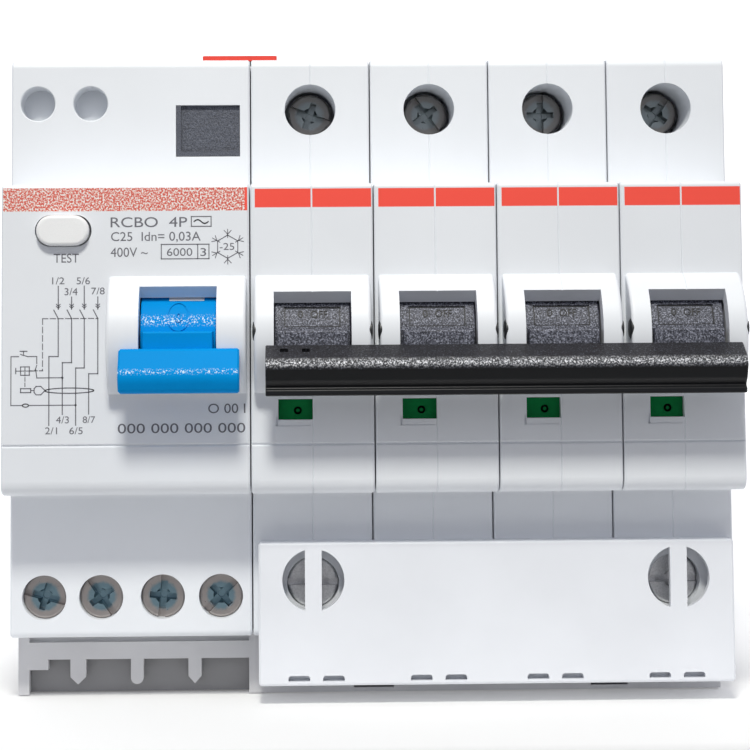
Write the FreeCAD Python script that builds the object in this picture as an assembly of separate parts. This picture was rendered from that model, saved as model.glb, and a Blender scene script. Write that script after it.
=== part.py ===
import FreeCAD, Part
import os
from math import cos, sin, radians

os.makedirs("parts", exist_ok=True)

# Residual current block with a four-pole breaker, millimetres.
# X runs along the rail, +Y towards the panel, +Z up. Origin: middle of the rail contact plane.

# overall
MODULE = 17.5
HALF_WIDTH = 52.5
JOINT_X = -17.5
POLE_X = [-8.75, 8.75, 26.25, 43.75]
GAP = 0.1

# side profile
REAR_Y = 5.5
SHOULDER_Y = -44.0
CAP_Y = -54.0
TOP_Z = 42.0
BOTTOM_Z = -42.0
CAP_TOP_Z = 22.85
CAP_BOTTOM_Z = -20.9
CREASE_Z = -13.9
WALL = 1.4
SEAM = 0.12

# rail seat
RAIL_HALF = 17.8
HOOK_Z = 15.8
HOOK_Y0 = 1.2
HOOK_Y1 = 3.2
CLIP_W = 8.4
CLIP_POLE = 2
CLIP_Y0 = 1.3
CLIP_Y1 = 3.9
CLIP_TOP_Z = -15.8
CLIP_BOTTOM_Z = -46.2
CLEAR = 0.3

# toggles
AXIS_Y = -49.3
AXIS_Z = 1.0
BUMP_R = 10.0
BUMP_INSET = 0.6
BUMP_LOW_Z = -6.7
DRUM_R = 7.4
DRUM_HALF = 5.3
NECK_HALF = 4.9
WINDOW_HALF = 5.4
LIP_INNER = 39.0
LIP_OUTER = 40.2
LIP_DOWN = 44.0
PIN_R = 1.5
PIN_FIT = 0.05
BAR_X0 = -15.3
BAR_X1 = 50.9
TIE_Y = -57.75
TIE_Z = 1.95
TIE_R = 1.45
RCD_TOGGLE_X = -27.5
RCD_LIP_INNER = 48.0
RCD_LIP_OUTER = 46.9

# screw terminals
LINE_Z = 34.5
LOAD_Z = -34.4
RCD_LOAD_Z = -36.2
RCD_LOAD_X = [-47.6, -39.4, -30.5, -22.1]
WELL_R = 3.75
HEAD_R = 3.25
HEAD_Y = -35.5
HEAD_LEN = 3.5
LOAD_HEAD_R = 3.65
LOAD_HEAD_Y = -42.6
SHANK_R = 2.5
RCD_HEAD_R = 3.15
RCD_HEAD_Y = -42.6
RCD_HEAD_LEN = 3.7
RCD_SEAT_Y = RCD_HEAD_Y + RCD_HEAD_LEN + 0.3
RCD_SHANK_R = 2.0
SHANK_END_Y = -21.0
CHAMBER_Y0 = -29.2
CHAMBER_Y1 = -9.5
CAGE_Y0 = -23.7
CAGE_Y1 = -9.9
CAGE_FRONT = 2.5
CAGE_REAR = 2.0
MCB_CAGE_SIDE = 1.2
RCD_CAGE_SIDE = 0.9
CAGE_HALF_Z = 4.0
MCB_CAGE_HALF = 4.9
RCD_CAGE_HALF = 3.3
TONGUE_Y0 = -20.5
TONGUE_Y1 = -18.9
ENTRY_Y0 = -18.8
ENTRY_Y1 = -11.8

# contacts
ARM_Y = -36.0
ARM_Z = -6.0
ARM_OPEN = 20.0
ARM_PIN_R = 1.2
COIL_Y = -24.0

# residual current block
SPLIT_Y = -30.0
TOROID_X = -35.0
TEST_X = -43.8
TEST_Z = 16.3
PORT_X = -23.75
PORT_Z = 31.45
BLANK_X = [-48.65, -40.95]
BLANK_Z = 35.5
BLANK_R = 2.5
BLANK_DEPTH = 4.2

RELAY_X0 = -50.2
LEVER_X = -35.0
LEVER_Y = -36.0
LEVER_Z = 0.0

# tray and cover below the housing
TRAY_Y0 = -37.2
TRAY_Y1 = -1.2
TRAY_Z = -51.2
TRAY_TOP_Z = -42.05
TRAY_WALL = 1.4
BAY_BACK_Y = -34.6
POINTED_RIBS = [(-44.55, -42.27), (-27.16, -25.24)]
ROUND_RIB = (-35.64, -33.78)
COVER_Y = -47.5
COVER_X0 = -16.6
COVER_X1 = 51.75
COVER_TOP_Z = -28.3
COVER_BOTTOM_Z = -48.6
COVER_WALL = 1.2
HALF_MOON_R = 4.45
HALF_MOON_Z = -33.65

# rivets, flags
RIVET_R = 1.25
RIVET_HEAD_R = 2.2
RIVETS = [(-5.0, 24.5), (-5.0, -24.0), (-39.5, 25.0), (-39.5, -24.5)]
FLAG_Z0 = -10.5
FLAG_Z1 = -7.6

# conductors
RISER_X = [-45.6, -39.4, -30.6, -24.4]
RISER_Y0 = -5.2
RISER_Y1 = -3.2
TOROID_R = 11.0
TOROID_HOLE = 5.8
TOROID_Y0 = -19.0
TOROID_Y1 = -11.0
CONDUCTOR_FRONT = -24.5
CONDUCTOR_HOLE = [(-2.0, 2.0), (-2.0, -2.0), (2.0, -2.0), (2.0, 2.0)]
TRAY_LEVEL = [-45.4, -46.9, -48.4, -49.9]

V = FreeCAD.Vector
X_AXIS = V(1, 0, 0)
Y_AXIS = V(0, 1, 0)
Z_AXIS = V(0, 0, 1)
BIG = 200.0


def box(x0, x1, y0, y1, z0, z1):
    return Part.makeBox(x1 - x0, y1 - y0, z1 - z0, V(x0, y0, z0))


def cyl(r, length, x, y, z, axis):
    return Part.makeCylinder(r, length, V(x, y, z), axis)


def rounded_wire(points):
    """Closed wire in the YZ plane from (y, z, corner radius) points."""
    n = len(points)
    ends = []
    for i in range(n):
        y, z, r = points[i]
        here = V(0, y, z)
        if r == 0:
            ends.append((here, here, None))
            continue
        before = V(0, points[i - 1][0], points[i - 1][1])
        after = V(0, points[(i + 1) % n][0], points[(i + 1) % n][1])
        a = (before - here).normalize()
        b = (after - here).normalize()
        half = a.getAngle(b) / 2
        set_back = r * cos(half) / sin(half)
        middle = (a + b).normalize()
        centre = here + middle * (r / sin(half))
        ends.append((here + a * set_back, here + b * set_back, centre - middle * r))
    edges = []
    for i in range(n):
        start, stop, bulge = ends[i]
        if bulge is not None:
            edges.append(Part.Arc(start, bulge, stop).toShape())
        follow = ends[(i + 1) % n][0]
        if stop.distanceToPoint(follow) > 1e-6:
            edges.append(Part.makeLine(stop, follow))
    return Part.Wire(edges)


def prism(points, x0, x1):
    face = Part.Face(rounded_wire(points))
    face.translate(V(x0, 0, 0))
    return face.extrude(V(x1 - x0, 0, 0))


def edges_at_x(shape, x):
    picked = []
    for edge in shape.Edges:
        bounds = edge.BoundBox
        if abs(bounds.XMin - x) < 1e-4 and abs(bounds.XMax - x) < 1e-4:
            picked.append(edge)
    return picked


def edges_at_y(shape, y):
    picked = []
    for edge in shape.Edges:
        bounds = edge.BoundBox
        if abs(bounds.YMin - y) < 1e-4 and abs(bounds.YMax - y) < 1e-4:
            picked.append(edge)
    return picked


def soften(shape, edges, size):
    return shape.makeChamfer(size, edges)


def fuse(shapes):
    return shapes[0].multiFuse(shapes[1:]).removeSplitter()


def save(name, shape):
    """Write one node; several separate solids stay a group."""
    solids = shape.Solids
    out = solids[0] if len(solids) == 1 else Part.makeCompound(solids)
    out.exportStep("parts/" + name + ".step")


def move(shape, x=0, y=0, z=0):
    copy = shape.copy()
    copy.translate(V(x, y, z))
    return copy


def turn(shape, y, z, degrees):
    """Turn about an axis along X, positive from +Y towards +Z."""
    copy = shape.copy()
    copy.rotate(V(0, y, z), X_AXIS, degrees)
    return copy


# ---------------------------------------------------------------- housing

def housing_points():
    return [
        (REAR_Y, TOP_Z, 0.8),
        (REAR_Y, 20.5, 0),
        (HOOK_Y1 + 0.2, HOOK_Z, 0),
        (HOOK_Y0, HOOK_Z, 0),
        (HOOK_Y0, RAIL_HALF, 0),
        (0, RAIL_HALF, 0),
        (0, -RAIL_HALF - 1, 0),
        (REAR_Y, -21.5, 0),
        (REAR_Y, BOTTOM_Z, 0.8),
        (SHOULDER_Y, BOTTOM_Z, 1.0),
        (SHOULDER_Y, CAP_BOTTOM_Z, 1.2),
        (CAP_Y, CAP_BOTTOM_Z, 2.0),
        (CAP_Y, CAP_TOP_Z, 0.6),
        (SHOULDER_Y, CAP_TOP_Z, 0.4),
        (SHOULDER_Y, TOP_Z, 1.2),
    ]


def mechanism_points(front):
    """Hollow behind the cap and between the terminal chambers."""
    return [
        (-WALL, 28.0, 1.0),
        (-WALL, -27.6, 1.0),
        (SHOULDER_Y + WALL, -27.6, 1.0),
        (SHOULDER_Y + WALL, CAP_BOTTOM_Z + WALL, 0.3),
        (front, CAP_BOTTOM_Z + WALL, 1.0),
        (front, CAP_TOP_Z - WALL, 0.5),
        (SHOULDER_Y + WALL, CAP_TOP_Z - WALL, 0.3),
        (SHOULDER_Y + WALL, 28.0, 1.0),
    ]


def crease(x0, x1):
    """Fine V groove across the cap below the toggles."""
    points = [(CAP_Y - 1, CREASE_Z - 1.25, 0), (CAP_Y + 0.25, CREASE_Z, 0), (CAP_Y - 1, CREASE_Z + 1.25, 0)]
    return prism(points, x0, x1)


def bump(x0, x1):
    """Rounded hood over a toggle, with softened side edges."""
    body = cyl(BUMP_R, x1 - x0, x0, AXIS_Y, AXIS_Z, X_AXIS)
    body = body.makeFillet(0.5, edges_at_x(body, x0) + edges_at_x(body, x1))
    keep = box(x0 - 1, x1 + 1, CAP_Y - BUMP_R, CAP_Y + WALL / 2, BUMP_LOW_Z, BIG)
    return body.common(keep)


def sector(x0, x1, radius, low, high):
    """Wedge about the toggle axis; angles measured from straight ahead, positive up."""
    points = [V(x0, AXIS_Y, AXIS_Z)]
    for angle in (low, (low + high) / 2, high):
        a = radians(angle)
        reach = radius / cos(radians((high - low) / 4))
        points.append(V(x0, AXIS_Y - reach * cos(a), AXIS_Z + reach * sin(a)))
    face = Part.Face(Part.makePolygon(points + [points[0]]))
    return face.extrude(V(x1 - x0, 0, 0))


def lip_bevel(x, inner, outer):
    """Slope at the upper lip, from the drum's clearance out to the hood."""
    reach = DRUM_R + 0.44
    y0 = AXIS_Y - reach * cos(radians(inner))
    z0 = AXIS_Z + reach * sin(radians(inner))
    y1 = AXIS_Y - BUMP_R * cos(radians(outer))
    z1 = AXIS_Z + BUMP_R * sin(radians(outer))
    far = (2 * y1 - y0, 2 * z1 - z0, 0)
    points = [(y0, z0, 0), far, (-BIG, far[1], 0), (-BIG, z0 - 1.0, 0), (y0, z0 - 1.0, 0)]
    return prism(points, x - WINDOW_HALF, x + WINDOW_HALF)


def window(x, inner, outer):
    """Cutter for the toggle opening, clear of the hub."""
    wedge = sector(x - WINDOW_HALF, x + WINDOW_HALF, 2 * BUMP_R, -LIP_DOWN, min(inner, outer))
    wedge = wedge.fuse(lip_bevel(x, inner, outer))
    core = cyl(DRUM_R - 1.0, 4 * WINDOW_HALF, x - 2 * WINDOW_HALF, AXIS_Y, AXIS_Z, X_AXIS)
    return wedge.cut(core)


def drum_space(x0, x1):
    return cyl(DRUM_R + 0.4, x1 - x0, x0, AXIS_Y, AXIS_Z, X_AXIS)


def clip_channel(x):
    w = CLIP_W / 2 + CLEAR
    y0 = CLIP_Y0 - CLEAR
    y1 = CLIP_Y1 + CLEAR
    return box(x - w, x + w, y0, y1, BOTTOM_Z - 1, CLIP_TOP_Z + 1)


def din_clip(x):
    w = CLIP_W / 2
    plate = box(x - w, x + w, CLIP_Y0, CLIP_Y1, CLIP_BOTTOM_Z, CLIP_TOP_Z)
    eye = box(x - 2.2, x + 2.2, CLIP_Y0 - 1, CLIP_Y1 + 1, CLIP_BOTTOM_Z + 1.0, CLIP_BOTTOM_Z + 2.6)
    ramp = turn(box(x - w - 1, x + w + 1, 0, 4, 0, 3), 0, 0, -40)
    ramp = move(ramp, 0, CLIP_Y1 - 1.6, CLIP_TOP_Z)
    relief = box(x - w + 2.2, x + w - 2.2, CLIP_Y0 - 1, CLIP_Y1 + 1, -36.0, -24.0)
    return plate.cut(eye).cut(ramp).cut(relief)


# ---------------------------------------------------------------- terminals

def well(x, z, radius, floor, shank):
    """Screw well from the shoulder down to the clamp chamber."""
    mouth = cyl(radius, floor - SHOULDER_Y + 1, x, SHOULDER_Y - 1, z, Y_AXIS)
    bore = cyl(shank + PIN_FIT, CHAMBER_Y0 - floor + 2, x, floor - 1, z, Y_AXIS)
    return mouth.fuse(bore)


def chamber(x, z, half):
    h = half + 0.35
    v = CAGE_HALF_Z + 0.35
    return box(x - h, x + h, CHAMBER_Y0, CHAMBER_Y1, z - v, z + v)


def entry(x, half, z0, z1):
    """Wire entry with rounded corners, along Z."""
    hole = box(x - half, x + half, ENTRY_Y0, ENTRY_Y1, z0, z1)
    upright = [e for e in hole.Edges if e.BoundBox.ZLength > abs(z1 - z0) - 0.01]
    return hole.makeFillet(1.6, upright)


def cage(x, z, half, side, shank):
    """Lift cage: a frame open along Z, tapped in its front wall."""
    frame = box(x - half, x + half, CAGE_Y0, CAGE_Y1, z - CAGE_HALF_Z, z + CAGE_HALF_Z)
    inner = half - side
    hollow = box(x - inner, x + inner, CAGE_Y0 + CAGE_FRONT, CAGE_Y1 - CAGE_REAR, -BIG, BIG)
    corners = [e for e in frame.Edges if e.BoundBox.ZLength > 2 * CAGE_HALF_Z - 0.01]
    frame = frame.makeFillet(0.7, corners)
    tapped = cyl(shank + PIN_FIT, CAGE_FRONT + 2, x, CAGE_Y0 - 1, z, Y_AXIS)
    body = frame.cut(hollow).cut(tapped)
    for step in range(-1, 2):
        groove = box(x - inner, x + inner, CAGE_Y1 - CAGE_REAR - 1, CAGE_Y1 - CAGE_REAR + 0.3,
                     z + step * 2.2 - 0.4, z + step * 2.2 + 0.4)
        body = body.cut(groove)
    return body


def screw(x, z, head_r, head_y, head_len, shank, slot_turn):
    """Slotted and cross-recessed terminal screw."""
    head = cyl(head_r, head_len, x, head_y, z, Y_AXIS)
    head = head.makeFillet(0.4, edges_at_y(head, head_y))
    stem = cyl(shank, SHANK_END_Y - head_y - 1, x, head_y + 1, z, Y_AXIS)
    stem = stem.makeChamfer(0.5, edges_at_y(stem, SHANK_END_Y))
    tools = [box(x - head_r - 1, x + head_r + 1, head_y - 1, head_y + 1.3, z - 0.5, z + 0.5)]
    cross = 0.62 * head_r
    tools.append(box(x - cross, x + cross, head_y - 1, head_y + 2.2, z - 0.45, z + 0.45))
    tools.append(box(x - 0.45, x + 0.45, head_y - 1, head_y + 2.2, z - cross, z + cross))
    cone = Part.makeCone(0.36 * head_r, 0.5, 2.4, V(x, head_y, z), Y_AXIS)
    tools.append(cone)
    body = fuse([head, stem]).cut(fuse(tools))
    body.rotate(V(x, 0, z), Y_AXIS, slot_turn)
    return body


def line_screw(x, slot_turn):
    return screw(x, LINE_Z, HEAD_R, HEAD_Y, HEAD_LEN, SHANK_R, slot_turn)


def load_screw(x):
    return screw(x, LOAD_Z, LOAD_HEAD_R, LOAD_HEAD_Y, HEAD_LEN, SHANK_R, 0)


def rcd_screw(x, slot_turn):
    return screw(x, RCD_LOAD_Z, RCD_HEAD_R, RCD_HEAD_Y, RCD_HEAD_LEN, RCD_SHANK_R, slot_turn)


# ---------------------------------------------------------------- breaker poles

def pole_cutters(x):
    """Hollows shared by the two half shells of one pole."""
    w = MODULE / 2 - GAP - WALL
    room = prism(mechanism_points(CAP_Y + WALL), x - w, x + w)
    line_floor = HEAD_Y + HEAD_LEN + CLEAR
    load_floor = LOAD_HEAD_Y + HEAD_LEN + CLEAR
    cutters = [
        room,
        drum_space(x - WINDOW_HALF - 0.2, x + WINDOW_HALF + 0.2),
        window(x, LIP_INNER, LIP_OUTER),
        well(x, LINE_Z, WELL_R, line_floor, SHANK_R),
        well(x, LOAD_Z, WELL_R, load_floor, SHANK_R),
        chamber(x, LINE_Z, MCB_CAGE_HALF),
        chamber(x, LOAD_Z, MCB_CAGE_HALF),
        entry(x, 4.1, LINE_Z + 3, TOP_Z + 1),
        entry(x, 4.1, BOTTOM_Z - 1, LOAD_Z - 3),
        box(x - 3.4, x + 3.4, TONGUE_Y0, TONGUE_Y1, 26.0, LINE_Z),
        box(x - 3.4, x + 3.4, TONGUE_Y0, TONGUE_Y1, LOAD_Z, -26.0),
    ]
    return cutters


def boss(x0, x1, y, z, r):
    return cyl(r, x1 - x0, x0, y, z, X_AXIS)


def pole_shell(x, side, clip):
    """Half shell: side -1 is left of the pole's middle, +1 right of it."""
    outer = x + side * (MODULE / 2 - GAP)
    x0 = min(x, outer)
    x1 = max(x, outer)
    body = prism(housing_points(), x0, x1)
    body = soften(body, edges_at_x(body, outer), 0.2)
    body = soften(body, edges_at_x(body, x), SEAM)
    body = body.fuse(hood_half(x, side)).cut(crease(x0 - 1, x1 + 1))
    half = box(x0 - 1, x1 + 1, -BIG, BIG, -BIG, BIG)
    cut = fuse(pole_cutters(x)).common(half)
    body = body.cut(cut)
    wall = outer - side * WALL
    near = x + side * 5.6
    a = min(wall, near)
    b = max(wall, near)
    body = body.fuse(boss(a, b, AXIS_Y, AXIS_Z, PIN_R + 1.4))
    body = body.cut(cyl(PIN_R + PIN_FIT, MODULE / 2, x, AXIS_Y, AXIS_Z, V(side, 0, 0))
                    .common(box(x - 7.3, x + 7.3, -BIG, BIG, -BIG, BIG)))
    near = x + side * 3.0
    a = min(wall, near)
    b = max(wall, near)
    body = body.fuse(boss(a, b, ARM_Y, ARM_Z, ARM_PIN_R + 1.2))
    body = body.cut(cyl(ARM_PIN_R + PIN_FIT, MODULE / 2, x, ARM_Y, ARM_Z, V(side, 0, 0))
                    .common(box(x - 7.3, x + 7.3, -BIG, BIG, -BIG, BIG)))
    body = body.fuse(inner_ribs(x, side, wall))
    for y, z in RIVETS:
        a = min(wall, x)
        b = max(wall, x)
        body = body.fuse(boss(a, b, y, z, RIVET_R + 1.3).common(box(x0, x1, -BIG, BIG, -BIG, BIG)))
        body = body.cut(cyl(RIVET_R, 2 * MODULE, x - MODULE, y, z, X_AXIS))
        body = body.cut(cyl(RIVET_HEAD_R + 0.15, 1.0, outer - side * 0.8, y, z, V(side, 0, 0)))
    if clip:
        body = body.cut(clip_channel(x))
    if side < 0:
        body = body.cut(flag_window(x))
        body = body.cut(flag_slits(x))
    return body.removeSplitter()


def inner_ribs(x, side, wall):
    """Ribs that hold the coil and the arc chute from the side."""
    coil = x + side * 5.42
    chute = x + side * 5.92
    return fuse([box(min(coil, wall), max(coil, wall), COIL_Y - 2, COIL_Y + 2, 9.4, 23.4),
                 box(min(chute, wall), max(chute, wall), -12.0, -4.0, -8.6, -6.4)])


def hood_half(x, side):
    full = bump(x - MODULE / 2 + BUMP_INSET, x + MODULE / 2 - BUMP_INSET)
    x0 = min(x, x + side * MODULE)
    x1 = max(x, x + side * MODULE)
    half = full.common(box(x0, x1, -BIG, BIG, -BIG, BIG))
    face = x + side * (MODULE / 2 - BUMP_INSET)
    half = half.cut(cyl(TIE_R, 2.4, face - 1.2, TIE_Y, TIE_Z, X_AXIS))
    seam = cyl(BUMP_R + 1, SEAM / 2, min(x, x + side * SEAM / 2), AXIS_Y, AXIS_Z, X_AXIS)
    ring = seam.cut(cyl(BUMP_R - SEAM, SEAM, x - SEAM / 2, AXIS_Y, AXIS_Z, X_AXIS))
    return half.cut(ring)


def rivets():
    """Tubular rivets, two heads each, through every pole."""
    parts = []
    for x in POLE_X:
        half = MODULE / 2 - GAP - 0.1
        for y, z in RIVETS:
            stem = cyl(RIVET_R, 2 * half - 1, x - half + 0.5, y, z, X_AXIS)
            heads = [cyl(RIVET_HEAD_R, 0.7, x - half, y, z, X_AXIS),
                     cyl(RIVET_HEAD_R, 0.7, x + half - 0.7, y, z, X_AXIS)]
            parts.append(fuse([stem] + heads).cut(cyl(0.7, 2 * half + 2, x - half - 1, y, z, X_AXIS)))
    return Part.makeCompound(parts)


def flag_window(x):
    return box(x - 4.85, x + 1, CAP_Y - 1, CAP_Y + WALL + 0.1, FLAG_Z0, FLAG_Z1)


def flag_slits(x):
    """Fine relief marks at the lower corners of the flag window."""
    low = FLAG_Z0 - 0.9
    left = box(x - 5.2, x - 4.9, CAP_Y - 1, CAP_Y + 0.3, low, FLAG_Z0 + 0.5)
    foot = box(x - 4.85, x - 0.3, CAP_Y - 1, CAP_Y + 0.15, low, low + 0.12)
    return left.fuse(foot)


def position_flag(x):
    """Shutter behind the flag window, with its drive stem."""
    plate = box(x - 5.6, x + 0.5, CAP_Y + WALL + CLEAR, CAP_Y + WALL + 1.1, -11.6, -7.3)
    stem = box(x - 4.0, x - 2.0, CAP_Y + WALL + 1.0, -44.5, -11.6, -10.4)
    return fuse([plate, stem])


def toggle(x):
    """Drum with pivot pins, recessed label plate and lever stub."""
    drum = cyl(DRUM_R, 2 * DRUM_HALF, x - DRUM_HALF, AXIS_Y, AXIS_Z, X_AXIS)
    drum = drum.makeFillet(0.25, edges_at_x(drum, x - DRUM_HALF) + edges_at_x(drum, x + DRUM_HALF))
    rear = box(x - 20, x + 20, AXIS_Y + 3.2, BIG, -BIG, BIG)
    hollow = box(x - DRUM_HALF + 1.4, x + DRUM_HALF - 1.4, AXIS_Y + 1.9, BIG, -BIG, BIG)
    pins = cyl(PIN_R, 14.0, x - 7.0, AXIS_Y, AXIS_Z, X_AXIS)
    drum = drum.cut(rear).cut(hollow)
    neck = box(x - NECK_HALF, x + NECK_HALF, AXIS_Y - 9.6, AXIS_Y - 5.0, AXIS_Z - 4.4, AXIS_Z + 1.0)
    neck = neck.makeFillet(0.3, [e for e in neck.Edges if e.BoundBox.YLength < 0.01])
    return fuse([drum, pins, neck])


def label_recess(x):
    """Shallow plate recess on the drum, above the neck."""
    wedge = sector(x - 4.0, x + 4.0, 2 * BUMP_R, 11.5, 36.0)
    core = cyl(DRUM_R - 0.25, 20, x - 10, AXIS_Y, AXIS_Z, X_AXIS)
    return wedge.cut(core)


def mcb_toggle(x):
    body = toggle(x).cut(label_recess(x))
    stub = box(x - 4.0, x + 4.0, -61.0, AXIS_Y - 9.0, -4.6, -1.6)
    return fuse([body, stub])


def bar_points():
    return [
        (-59.6, 0.1, 0.15),
        (-62.5, -1.8, 0.6),
        (-63.0, -2.95, 0.7),
        (-62.2, -4.9, 1.0),
        (-61.4, -5.85, 0.2),
        (-61.9, -6.2, 0.2),
        (-61.9, -6.95, 0.3),
        (-58.9, -7.05, 0.2),
        (-58.9, -4.6, 0),
        (-60.0, -4.0, 0.3),
        (-60.0, -2.4, 0.3),
        (-59.6, -1.4, 0),
    ]


def handle_bar():
    """Bar clipped over the four lever stubs."""
    bar = prism(bar_points(), BAR_X0, BAR_X1)
    bar = soften(bar, edges_at_x(bar, BAR_X0) + edges_at_x(bar, BAR_X1), 0.12)
    for x in POLE_X:
        bar = bar.cut(box(x - 4.0, x + 4.0, -61.0, AXIS_Y - 9.0, -4.6, -1.6))
        clear = cyl(BUMP_R + 0.3, MODULE, x - MODULE / 2, AXIS_Y, AXIS_Z, X_AXIS)
        bar = bar.cut(clear)
    for x in (BAR_X0 + 2.0, BAR_X0 + 5.0):
        bar = bar.cut(box(x, x + 1.1, -64, -60.0, -0.95, -0.5))
    return bar.removeSplitter()


def contact_arm(x):
    """Moving contact, drawn closed and turned open."""
    points = [
        (ARM_Y - 2.0, ARM_Z - 1.6, 0.8),
        (ARM_Y + 2.4, ARM_Z - 2.0, 0.5),
        (-20.6, 1.6, 0.5),
        (-20.4, 3.4, 0.3),
        (-24.4, 3.4, 0.5),
        (ARM_Y - 0.6, ARM_Z + 2.4, 0.8),
        (ARM_Y - 2.2, ARM_Z + 1.2, 0.8),
    ]
    arm = prism(points, x - 1.4, x + 1.4)
    pad = cyl(1.6, 1.1, x, -22.5, 3.3, Z_AXIS)
    pin = cyl(ARM_PIN_R, 12.0, x - 6.0, ARM_Y, ARM_Z, X_AXIS)
    hub = cyl(2.2, 5.2, x - 2.6, ARM_Y, ARM_Z, X_AXIS)
    return turn(fuse([arm, pad, pin, hub]), ARM_Y, ARM_Z, -ARM_OPEN)


def fixed_contact(x):
    """Line tongue running down beside the coil to the fixed contact."""
    tongue = box(x - 3.2, x + 3.2, TONGUE_Y0 + 0.05, TONGUE_Y1 - 0.05, 25.0, LINE_Z + 4.0)
    jog = box(x - 3.2, x + 3.2, TONGUE_Y0 + 0.05, -15.4, 25.0, 26.6)
    strip = box(x - 2.6, x + 2.6, -16.8, -15.4, 6.2, 26.6)
    tip = box(x - 2.6, x + 2.6, -24.6, -15.4, 6.2, 7.8)
    pad = cyl(1.6, 1.6, x, -22.5, 4.8, Z_AXIS)
    return fuse([tongue, jog, strip, tip, pad])


def trip_coil(x):
    """Magnetic release: core, flanges and five turns."""
    parts = [cyl(2.4, 14.4, x, COIL_Y, 9.2, Z_AXIS)]
    parts.append(cyl(5.4, 1.0, x, COIL_Y, 9.2, Z_AXIS))
    parts.append(cyl(5.4, 1.0, x, COIL_Y, 22.6, Z_AXIS))
    for i in range(5):
        parts.append(cyl(4.9, 1.7, x, COIL_Y, 10.9 + i * 2.3, Z_AXIS))
    return fuse(parts)


def bimetal(x):
    """Thermal release strip joined to the load tongue."""
    strip = box(x - 2.4, x + 2.4, -33.7, -32.7, -27.4, -10.5)
    bridge = box(x - 2.4, x + 2.4, -33.7, TONGUE_Y1 - 0.05, -27.5, -26.1)
    tongue = box(x - 3.2, x + 3.2, TONGUE_Y0 + 0.05, TONGUE_Y1 - 0.05, LOAD_Z - 4.0, -26.1)
    return fuse([strip, bridge, tongue])


def arc_chute(x):
    """Stack of splitter plates in fibre cheeks."""
    parts = []
    for side in (-1, 1):
        cheek = x + side * 5.9
        parts.append(box(min(cheek, cheek - side * 0.8), max(cheek, cheek - side * 0.8),
                         -13.5, -2.5, -19.5, 4.8))
    for i in range(9):
        z = -18.8 + i * 2.75
        plate = box(x - 5.9, x + 5.9, -13.8, -2.8, z, z + 0.9)
        notch = prism([(-15, -BIG, 0), (-15, BIG, 0), (-10, BIG, 0), (-10, -BIG, 0)], x - 1.2, x + 1.2)
        parts.append(plate.cut(notch))
    return fuse(parts)


# ---------------------------------------------------------------- residual current block

def blank_well(x):
    """Shallow round recess with a broken edge."""
    mouth = Part.makeCone(BLANK_R + 0.15, BLANK_R, 0.15, V(x, SHOULDER_Y, BLANK_Z), Y_AXIS)
    return mouth.fuse(cyl(BLANK_R, BLANK_DEPTH + 1, x, SHOULDER_Y - 1, BLANK_Z, Y_AXIS))


def rcd_body():
    x0 = -HALF_WIDTH
    x1 = JOINT_X - GAP
    body = prism(housing_points(), x0, x1)
    body = soften(body, edges_at_x(body, x0) + edges_at_x(body, x1), 0.25)
    body = body.fuse(bump(RCD_TOGGLE_X - 9.9, JOINT_X - 0.5)).cut(crease(x0 - 1, x1 + 1))
    room = prism(mechanism_points(CAP_Y + WALL), x0 + WALL, x1 - WALL)
    cutters = [
        room,
        drum_space(RCD_TOGGLE_X - WINDOW_HALF - 0.2, RCD_TOGGLE_X + WINDOW_HALF + 0.2),
        window(RCD_TOGGLE_X, RCD_LIP_INNER, RCD_LIP_OUTER),
        clip_channel((x0 + x1) / 2),
        blank_well(BLANK_X[0]),
        blank_well(BLANK_X[1]),
        box(PORT_X - 4.7, PORT_X + 4.7, SHOULDER_Y - 1, SHOULDER_Y + 8.0,
            PORT_Z - 3.8, PORT_Z + 3.8),
        test_hole(),
    ]
    for x in RCD_LOAD_X:
        cutters.append(well(x, RCD_LOAD_Z, RCD_HEAD_R + PIN_FIT, RCD_SEAT_Y, RCD_SHANK_R))
        cutters.append(chamber(x, RCD_LOAD_Z, RCD_CAGE_HALF))
        cutters.append(entry(x, 2.7, BOTTOM_Z - 1, RCD_LOAD_Z - 3))
        cutters.append(box(x - 2.0, x + 2.0, TONGUE_Y0, TONGUE_Y1, RCD_LOAD_Z, -26.0))
    for x in RISER_X:
        cutters.append(box(x - 1.3, x + 1.3, RISER_Y0 - 0.2, RISER_Y1 + 0.2, BOTTOM_Z - 1, -26.0))
    body = body.cut(fuse(cutters))
    for side in (-1, 1):
        near = RCD_TOGGLE_X + side * 5.6
        far = RCD_TOGGLE_X + side * 8.4
        body = body.fuse(boss(min(near, far), max(near, far), AXIS_Y, AXIS_Z, PIN_R + 1.4))
        web = box(min(near + side * 1.2, far), max(near + side * 1.2, far), CAP_Y + 0.5, AXIS_Y,
                  AXIS_Z - 2.2, AXIS_Z + 2.2)
        body = body.fuse(web)
    saddle = box(TOROID_X - 6, TOROID_X + 6, TOROID_Y0 + 1.5, TOROID_Y1 - 1.5, -28.0, -8.0)
    saddle = saddle.cut(cyl(TOROID_R, 12, TOROID_X, TOROID_Y0 - 2, 0, Y_AXIS))
    relay_rib = box(x0 + WALL / 2, RELAY_X0, -40.0, -32.0, 5.0, 18.0)
    body = body.fuse(saddle).fuse(relay_rib)
    body = body.cut(cyl(PIN_R + PIN_FIT, 14.4, RCD_TOGGLE_X - 7.2, AXIS_Y, AXIS_Z, X_AXIS))
    return body.removeSplitter()


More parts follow.
